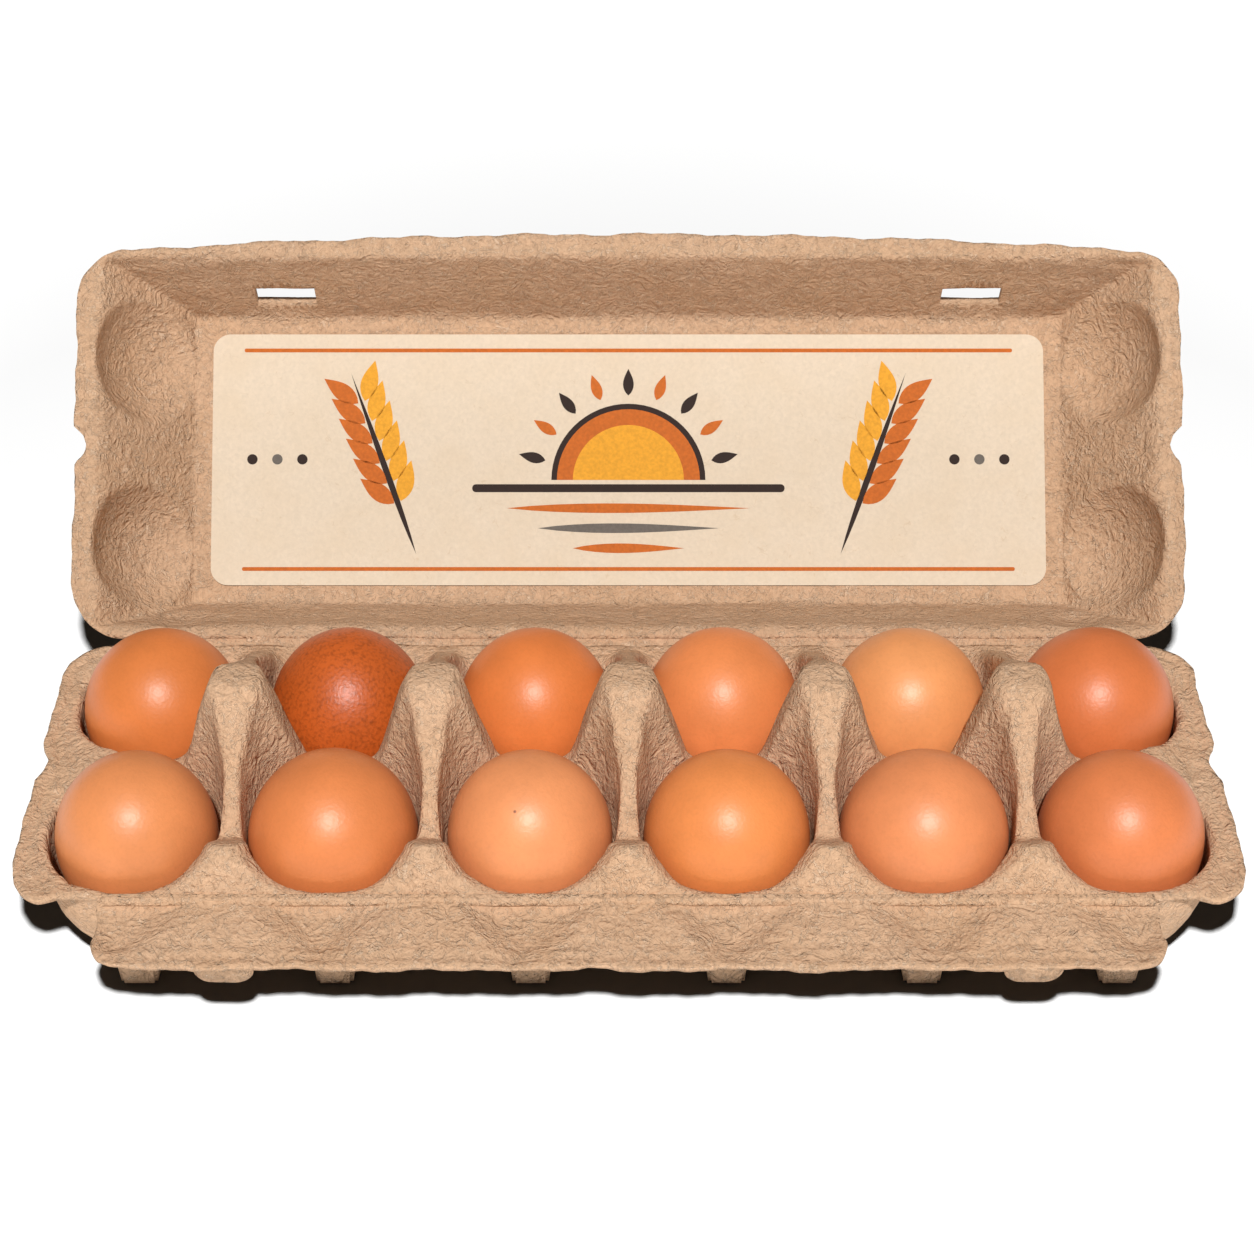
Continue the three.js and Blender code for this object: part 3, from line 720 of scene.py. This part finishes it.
def egg_piece(name, width, at, seed):
    """A hen's egg, blunt end up, with the slight unevenness of a real shell."""
    verts, faces = [(0, 0, -EGG_POINTED)], []
    for step in range(1, EGG_STEPS):
        angle = -math.pi / 2 + math.pi * step / EGG_STEPS
        rise = math.sin(angle)
        half = EGG_POINTED if rise < 0 else EGG_BLUNT
        radius = width / 2 * math.cos(angle) * (1 - EGG_TAPER * max(-rise, 0) ** EGG_TAPER_POWER)
        for turn in range(EGG_SIDES):
            around = 2 * math.pi * turn / EGG_SIDES
            verts.append((radius * math.cos(around), radius * math.sin(around), rise * half))
    verts.append((0, 0, EGG_BLUNT))
    top = len(verts) - 1
    for turn in range(EGG_SIDES):
        following = (turn + 1) % EGG_SIDES
        faces.append((0, 1 + following, 1 + turn))
        faces.append((top, top - EGG_SIDES + turn, top - EGG_SIDES + following))
        for step in range(EGG_STEPS - 2):
            low = 1 + step * EGG_SIDES
            high = low + EGG_SIDES
            faces.append((low + turn, low + following, high + following, high + turn))
    mesh = bpy.data.meshes.new(name)
    mesh.from_pydata(verts, [], faces)
    egg = linked(name, mesh)
    felt_relief(egg, seed, EGG_LUMPS)
    mesh.transform(Matrix.Translation(ORIGIN + Vector(at)))
    return egg


def fold_web(name, section, half_x, seed):
    """The creased band of pulp at a fold: its section runs along X and spans the gap from the tray's edge
    to the lid or flap.
    """
    stations = np.linspace(-half_x, half_x, FOLD_STATIONS)
    count = len(section)
    verts = [(x, y, z) for x in stations for y, z in section]
    faces = [tuple(range(count)), tuple(reversed(range((len(stations) - 1) * count, len(verts))))]
    for k in range(len(stations) - 1):
        for side in range(count):
            a = k * count + side
            b = k * count + (side + 1) % count
            faces.append((a, a + count, b + count, b))
    mesh = bpy.data.meshes.new(name)
    mesh.from_pydata(verts, [], faces)
    work = bmesh.new()
    work.from_mesh(mesh)
    bmesh.ops.recalc_face_normals(work, faces=work.faces)
    work.to_mesh(mesh)
    work.free()
    web = linked(name, mesh)
    felt_relief(web, seed, FOLD_LUMPS)
    place(web, 0, (0, 0, 0))
    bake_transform(web)
    return web


def make_label():
    width, height, radius, thickness = LABEL
    label = prism("label_paper", rounded_rectangle(width, height, radius, 12), thickness)
    label.data.transform(Matrix.Translation((0, -PANEL_MIDDLE, LID_DEPTH - LABEL_GAP - thickness)))
    place(label, -LID_OPENING, (0, HINGE_Y, HINGE_Z))
    label.data.shade_flat()
    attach(label, "lid")
    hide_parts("label")
    return label


def ring_sector(inner, outer, start, end):
    """Outline of part of a ring, or of a disc where inner is 0, between two angles in degrees."""
    angles = np.radians(np.linspace(start, end, 33))
    points = [(outer * math.cos(a), outer * math.sin(a)) for a in angles]
    if inner > 0:
        points += [(inner * math.cos(a), inner * math.sin(a)) for a in reversed(angles)]
    return points


def lens(length, width):
    """Outline of a leaf along +X from the origin."""
    shares = np.linspace(0, 1, 11)
    upper = [(length * s, width / 2 * math.sin(math.pi * s ** 0.8)) for s in shares]
    return upper[::-1] + [(x, -y) for x, y in upper[1:-1]]


def moved(outline, at, angle=0):
    """The outline turned by an angle in degrees, then moved."""
    c, s = math.cos(math.radians(angle)), math.sin(math.radians(angle))
    return [(at[0] + c * x - s * y, at[1] + s * x + c * y) for x, y in outline]


def sun_shapes():
    """A half sun over a ground line and furrows."""
    shapes = []
    inner = 0
    for colour, outer in zip(("amber", "orange", "dark"), SUN_RINGS):
        shapes.append((colour, moved(ring_sector(inner, outer, 0, 180), SUN_AT)))
        inner = outer
    count, distance, length, width = RAYS
    for step in range(count):
        ray = moved(lens(length, width), (distance, 0))
        angle = 180 * (step + 0.7) / (count + 0.4)
        shapes.append(("orange" if step % 2 else "dark", moved(ray, SUN_AT, angle)))
    length, width, below = GROUND
    ground_y = SUN_AT[1] - below
    shapes.append(("dark", moved(rounded_rectangle(length, width, width * 0.45, 3), (0, ground_y))))
    for row, length in enumerate(FURROWS):
        furrow_y = ground_y - FURROW_SPACING * (row + 1)
        furrow = moved(lens(length, FURROW_WIDTH), (-length / 2, furrow_y))
        shapes.append(("grey" if row % 2 else "orange", furrow))
    return shapes


def sprig_shapes(side):
    """An ear of grain at one side of the label, leaning outward."""
    base = np.array([side * EAR_AT[0], EAR_AT[1]])
    lean = 90 - side * EAR_LEAN
    along = np.array([math.cos(math.radians(lean)), math.sin(math.radians(lean))])
    across = np.array([-along[1], along[0]])
    shapes = [("dark", moved(lens(*EAR_STEM), base, lean))]
    pairs, first, spacing, length, width = GRAINS
    for pair in range(pairs):
        for turn in (-1, 1):
            at = base + along * (first + spacing * pair) + across * GRAIN_OFFSET * turn
            colour = "amber" if turn == side else "orange"
            shapes.append((colour, moved(lens(length, width), at, lean + turn * GRAIN_TURN)))
    return shapes


def border_shapes():
    """A line along the label's top and bottom, and three dots at each end."""
    shapes = []
    length, width, distance = BORDER
    first, spacing, radius = DOTS
    for side in (-1, 1):
        line = rounded_rectangle(length, width, width * 0.4, 3)
        shapes.append(("orange", moved(line, (0, side * distance))))
        for step in range(3):
            dot = moved(ring_sector(0, radius, 0, 355), (side * (first + spacing * step), 0))
            shapes.append(("grey" if step % 2 else "dark", dot))
    return shapes


def add_ink(work, outline):
    """A thin layer of ink on the label's face."""
    face = LID_DEPTH - LABEL_GAP - LABEL[3]
    lower = [work.verts.new((x, -PANEL_MIDDLE - y, face - INK_DEPTH)) for x, y in outline]
    upper = [work.verts.new((x, -PANEL_MIDDLE - y, face + INK_DEPTH)) for x, y in outline]
    work.faces.new(lower)
    work.faces.new(reversed(upper))
    for k in range(len(outline)):
        following = (k + 1) % len(outline)
        work.faces.new((lower[k], upper[k], upper[following], lower[following]))


def make_print():
    """The label's print. One piece for each ink."""
    shapes = sun_shapes() + sprig_shapes(-1) + sprig_shapes(1) + border_shapes()
    prints = {}
    for ink in INKS:
        work = bmesh.new()
        for colour, outline in shapes:
            if colour == ink:
                add_ink(work, outline)
        bmesh.ops.recalc_face_normals(work, faces=work.faces)
        mesh = bpy.data.meshes.new("print_" + ink)
        work.to_mesh(mesh)
        work.free()
        piece = linked("print_" + ink, mesh)
        place(piece, -LID_OPENING, (0, HINGE_Y, HINGE_Z))
        mesh.shade_flat()
        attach(piece, "lid")
        prints[ink] = piece
    return prints


def make_eggs():
    eggs = {}
    for row_name, side in (("front", -1), ("back", 1)):
        for column, width in enumerate(EGG_WIDTHS[row_name]):
            at = (column_x(column), side * ROW_Y, EGG_WIDEST_Z)
            egg = egg_piece(f"shell_{row_name}_{column + 1}", width, at, 10 + 7 * column + side)
            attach(egg, "tray")
            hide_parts(f"egg_{row_name}_{column + 1}")
            eggs[row_name, column] = egg
    return eggs


# Materials
def albedo(colour, share=1.0):
    """The surface colour that shows as an sRGB colour of the photograph where the light is full."""
    values = []
    for value in colour:
        level = value / 255
        linear = level / 12.92 if level <= 0.04045 else ((level + 0.055) / 1.055) ** 2.4
        values.append(linear / WHITE_CARD * share)
    return (*values, 1)


def new_material(name, roughness):
    material = bpy.data.materials.new(name)
    material.use_nodes = True
    tree = material.node_tree
    shader = tree.nodes["Principled BSDF"]
    shader.inputs["Roughness"].default_value = roughness
    return material, tree, shader


def add_node(tree, kind, inputs, **settings):
    """A new shader node. Inputs are given by name or number, as values or as sockets to link from."""
    node = tree.nodes.new(kind)
    for name, value in settings.items():
        setattr(node, name, value)
    for name, value in inputs.items():
        if isinstance(value, bpy.types.NodeSocket):
            tree.links.new(value, node.inputs[name])
        else:
            node.inputs[name].default_value = value
    return node


def place_in_object(tree):
    return add_node(tree, "ShaderNodeTexCoord", {}).outputs["Object"]


def noise_field(tree, seed, size, detail=2.0, distortion=0.0):
    """Noise from 0 to 1, with features of about that size."""
    inputs = {
        "Vector": place_in_object(tree),
        "W": seed,
        "Scale": 1 / size,
        "Detail": detail,
        "Distortion": distortion,
    }
    return add_node(tree, "ShaderNodeTexNoise", inputs, noise_dimensions="4D").outputs[0]


def calculate(tree, operation, *values):
    return add_node(tree, "ShaderNodeMath", dict(enumerate(values)), operation=operation).outputs[0]


def ramp(tree, value, low, high, start=0.0, end=1.0):
    """start below low, end above high and straight between them."""
    inputs = {"Value": value, "From Min": low, "From Max": high, "To Min": start, "To Max": end}
    return add_node(tree, "ShaderNodeMapRange", inputs).outputs[0]


def curls(tree, seed, size, width, cover):
    """Short curled fibres: thin contours of one noise, broken up by another."""
    contour = noise_field(tree, seed, size, 1.0, 1.4)
    from_line = calculate(tree, "ABSOLUTE", calculate(tree, "SUBTRACT", contour, 0.5))
    line = ramp(tree, from_line, width * 0.3, width, 1.0, 0.0)
    kept = ramp(tree, noise_field(tree, seed + 3.7, size * 0.9), 1 - cover, 1.05 - cover)
    return calculate(tree, "MULTIPLY", line, kept)


def mixed(tree, share, first, second):
    """A mix of two colours, by the share of the second. A mix node's colours are its inputs 6 and 7."""
    inputs = {0: share, 6: first, 7: second}
    return add_node(tree, "ShaderNodeMix", inputs, data_type="RGBA").outputs[2]


def bump(tree, shader, height, distance):
    inputs = {"Height": height, "Distance": distance, "Strength": 1.0}
    normal = add_node(tree, "ShaderNodeBump", inputs).outputs["Normal"]
    tree.links.new(normal, shader.inputs["Normal"])


def pulp_material(name, seed, painted_lighting):
    """Felted grey-brown pulp: cloudy, softly matted, with curled fibres and a few dark specks. Its base,
    clouds and grain carry painted light on the tray and flap and painted shade on the lid.
    """
    material, tree, shader = new_material(name, 0.95)
    shader.inputs["Specular IOR Level"].default_value = 0.12
    felt = noise_field(tree, seed, 0.0019, 4.0, 1.0)
    grain = noise_field(tree, seed + 7, 0.0008, 3.0, 0.6)
    cloud = noise_field(tree, seed + 1, 0.018, 3.0)
    from_ridge = calculate(tree, "SUBTRACT", noise_field(tree, seed + 6, 0.0055, 3.0, 1.6), 0.5)
    matting = ramp(tree, calculate(tree, "ABSOLUTE", from_ridge), 0.0, 0.2, 1.0, 0.0)
    light_fibres = curls(tree, seed + 2, 0.0036, 0.030, 0.50)
    fine_fibres = curls(tree, seed + 3, 0.0020, 0.050, 0.50)
    dark_fibres = curls(tree, seed + 4, 0.0030, 0.020, 0.40)
    specks = ramp(tree, noise_field(tree, seed + 5, 0.0012), 0.78, 0.82)
    # Painted light and shade: the part's factor makes the pulp lighter on the tray and flap and darker on
    # the lid
    dull = albedo(PULP_COLOUR, 0.85 * painted_lighting)
    pale = albedo(PULP_COLOUR, 1.11 * painted_lighting)
    colour = mixed(tree, ramp(tree, felt, 0.3, 0.7), dull, pale)
    colour = mixed(tree, ramp(tree, cloud, 0.35, 0.7, 0.0, 0.35), colour, albedo(PULP_CLOUD, painted_lighting))
    colour = mixed(tree, ramp(tree, grain, 0.55, 0.85, 0.0, 0.5), colour, albedo(PULP_DARK, painted_lighting))
    layers = (
        (light_fibres, 0.38, PULP_LIGHT),
        (fine_fibres, 0.30, PULP_LIGHT),
        (dark_fibres, 0.28, PULP_DARK),
        (specks, 0.45, PULP_SPECK),
    )
    for fibres, strength, shade in layers:
        colour = mixed(tree, calculate(tree, "MULTIPLY", fibres, strength), colour, albedo(shade))
    tree.links.new(colour, shader.inputs["Base Color"])
    height = felt
    reliefs = ((matting, 0.6), (light_fibres, 0.25), (fine_fibres, 0.2), (dark_fibres, -0.15))
    for relief, share in reliefs:
        height = calculate(tree, "ADD", height, calculate(tree, "MULTIPLY", relief, share))
    bump(tree, shader, height, PULP_RELIEF)
    return material


def paper_material():
    """Smooth recycled paper with faint fibres."""
    material, tree, shader = new_material("label_paper", 0.85)
    shader.inputs["Specular IOR Level"].default_value = 0.2
    grain = noise_field(tree, 41, 0.0011, 4.0, 0.5)
    cloud = noise_field(tree, 42, 0.012, 3.0)
    dull = albedo(PAPER_COLOUR, 0.93)
    pale = albedo(PAPER_COLOUR, 1.04)
    colour = mixed(tree, ramp(tree, grain, 0.3, 0.7), dull, pale)
    colour = mixed(tree, ramp(tree, cloud, 0.4, 0.7, 0.0, 0.35), colour, albedo(PAPER_CLOUD))
    fibres = curls(tree, 43, 0.0042, 0.016, 0.42)
    colour = mixed(tree, calculate(tree, "MULTIPLY", fibres, 0.3), colour, albedo(PAPER_FIBRE))
    tree.links.new(colour, shader.inputs["Base Color"])
    bump(tree, shader, grain, 0.00006)
    return material


def ink_material(ink, seed):
    """Printed ink, a little worn by the grain of the paper."""
    material, tree, shader = new_material("ink_" + ink, 0.7)
    shader.inputs["Specular IOR Level"].default_value = 0.25
    grain = noise_field(tree, seed, 0.0009, 4.0)
    worn = albedo(INKS[ink], 0.9)
    full = albedo(INKS[ink], 1.15)
    colour = mixed(tree, ramp(tree, grain, 0.35, 0.72), worn, full)
    tree.links.new(colour, shader.inputs["Base Color"])
    return material


def shell_material(name, colour, seed, mottle, freckles, spot):
    """Eggshell: faint clouds, pores and freckles under a satin skin, and on some eggs one dark spot."""
    material, tree, shader = new_material(name, 0.41)
    shader.inputs["Specular IOR Level"].default_value = 0.44
    cloud = noise_field(tree, seed, 0.012, 3.0)
    pores = noise_field(tree, seed + 1, 0.0009, 3.0)
    dull = albedo(colour, 0.98)
    pale = albedo(colour, 1.14)
    shade = mixed(tree, ramp(tree, cloud, 0.3, 0.7), dull, pale)
    shade = mixed(tree, ramp(tree, pores, 0.45, 0.75, 0.0, mottle), shade, albedo(colour, 0.5))
    speckle = noise_field(tree, seed + 2, 0.0016)
    marks = ramp(tree, speckle, 0.79 - freckles, 0.82 - freckles, 0.0, 0.4)
    shade = mixed(tree, marks, shade, albedo(FRECKLE_COLOUR))
    if spot:
        inputs = {0: place_in_object(tree), 1: spot}
        distance = add_node(tree, "ShaderNodeVectorMath", inputs, operation="DISTANCE").outputs["Value"]
        on_spot = ramp(tree, distance, 0.00025, 0.0006, 0.85, 0.0)
        shade = mixed(tree, on_spot, shade, albedo(SPOT_COLOUR))
    tree.links.new(shade, shader.inputs["Base Color"])
    bump(tree, shader, pores, 0.00006 + 0.00010 * mottle)
    return material


def egg_look(place_of_egg, name):
    """The shell of one egg, with what sets it apart from the others."""
    row_name, column = place_of_egg
    mottle = DARK_MOTTLE if place_of_egg == DARK_EGG else MOTTLE
    freckles = FRECKLES if place_of_egg == FRECKLED_EGG else 0.0
    spot = None
    if place_of_egg == SPOTTED_EGG:
        spot = tuple(ORIGIN + Vector((column_x(column), -ROW_Y, EGG_WIDEST_Z)) + Vector(SPOT))
    seed = 60 + 5 * column + len(row_name)
    return shell_material(name, SHELL_COLOURS[row_name][column], seed, mottle, freckles, spot)


def assign(obj, material):
    obj.data.materials.clear()
    obj.data.materials.append(material)


# Lights, floor and camera
def make_floor():
    """A floor that shows white where it is lit and almost black in shadow, as in the photograph."""
    mesh = bpy.data.meshes.new("floor")
    corners = [(x * FLOOR_HALF, y * FLOOR_HALF, 0) for x, y in ((-1, -1), (1, -1), (1, 1), (-1, 1))]
    mesh.from_pydata(corners, [], [(0, 1, 2, 3)])
    floor = linked("floor", mesh)
    material, tree, shader = new_material("floor", 1.0)
    length = add_node(tree, "ShaderNodeVectorMath", {0: place_in_object(tree)}, operation="LENGTH")
    near, dark = FLOOR_NEAR
    far, pale = FLOOR_FAR
    grey = ramp(tree, length.outputs["Value"], near, far, dark, pale)
    tree.links.new(grey, shader.inputs["Base Color"])
    shader.inputs["Specular IOR Level"].default_value = 0
    assign(floor, material)
    return floor


def new_lamp(name, light, at, floor, lights_floor):
    """A lamp that lights only the floor, or all but the floor."""
    lamp = bpy.data.objects.new(name, light)
    bpy.context.scene.collection.objects.link(lamp)
    lamp.location = ORIGIN + Vector(at)
    receivers = bpy.data.collections.new(name + "_receivers")
    receivers.objects.link(floor)
    receivers.collection_objects[0].light_linking.link_state = "INCLUDE" if lights_floor else "EXCLUDE"
    lamp.light_linking.receiver_collection = receivers
    return lamp


def make_key(floor):
    """The key light on the carton, from above the front."""
    light = bpy.data.lights.new("key", "SUN")
    light.energy = math.pi * (WHITE_CARD - SKY)
    light.angle = KEY_ANGLE
    lamp = new_lamp("key", light, KEY_AT, floor, False)
    lamp.rotation_euler = (math.pi / 2 - KEY_ELEVATION, 0, KEY_TURN)


def make_floor_light(floor):
    """The light that casts the carton's shadow, which spreads at both ends. It is even over the floor."""
    light = bpy.data.lights.new("key_on_floor", "POINT")
    light.energy = 4 * math.pi * math.pi * FLOOR_WHITE / FLOOR_NEAR[1]
    light.shadow_soft_size = FLOOR_LIGHT_RADIUS
    light.use_nodes = True
    tree = light.node_tree
    even = add_node(tree, "ShaderNodeLightFalloff", {"Strength": 1.0}).outputs["Constant"]
    tree.links.new(even, tree.nodes["Emission"].inputs["Strength"])
    new_lamp("key_on_floor", light, FLOOR_LIGHT_AT, floor, True)


def make_sky():
    world = bpy.data.worlds.new("studio")
    world.use_nodes = True
    background = world.node_tree.nodes["Background"]
    background.inputs["Color"].default_value = SKY_COLOUR
    background.inputs["Strength"].default_value = SKY
    bpy.context.scene.world = world
    bpy.context.scene.view_settings.view_transform = "Standard"


def make_camera():
    data = bpy.data.cameras.new("camera")
    data.sensor_width = 36
    data.lens = CAMERA_LENS
    camera = bpy.data.objects.new("camera", data)
    bpy.context.scene.collection.objects.link(camera)
    camera.location = ORIGIN + Vector(CAMERA_AT)
    camera.rotation_euler = (CAMERA_PITCH, 0, 0)
    bpy.context.scene.camera = camera


make_camera()
floor = make_floor()
make_key(floor)
make_floor_light(floor)
make_sky()
tray_pulp = pulp_material("pulp_tray", 1, TRAY_PAINTED_LIGHT)
lid_pulp = pulp_material("pulp_lid", 11, LID_PAINTED_SHADE)
flap_pulp = pulp_material("pulp_flap", 21, FLAP_PAINTED_LIGHT)
assign(make_tray(), tray_pulp)
assign(make_lid(), lid_pulp)
assign(make_flap(), flap_pulp)
assign(fold_web("lid_hinge_web", LID_FOLD, LID_FOLD_HALF_X, 5), lid_pulp)
assign(fold_web("flap_hinge_web", FLAP_FOLD, FLAP_FOLD_HALF_X, 6), flap_pulp)
assign(make_label(), paper_material())
for number, (ink, piece) in enumerate(make_print().items()):
    assign(piece, ink_material(ink, 51 + number))
for place_of_egg, egg in make_eggs().items():
    assign(egg, egg_look(place_of_egg, egg.name))
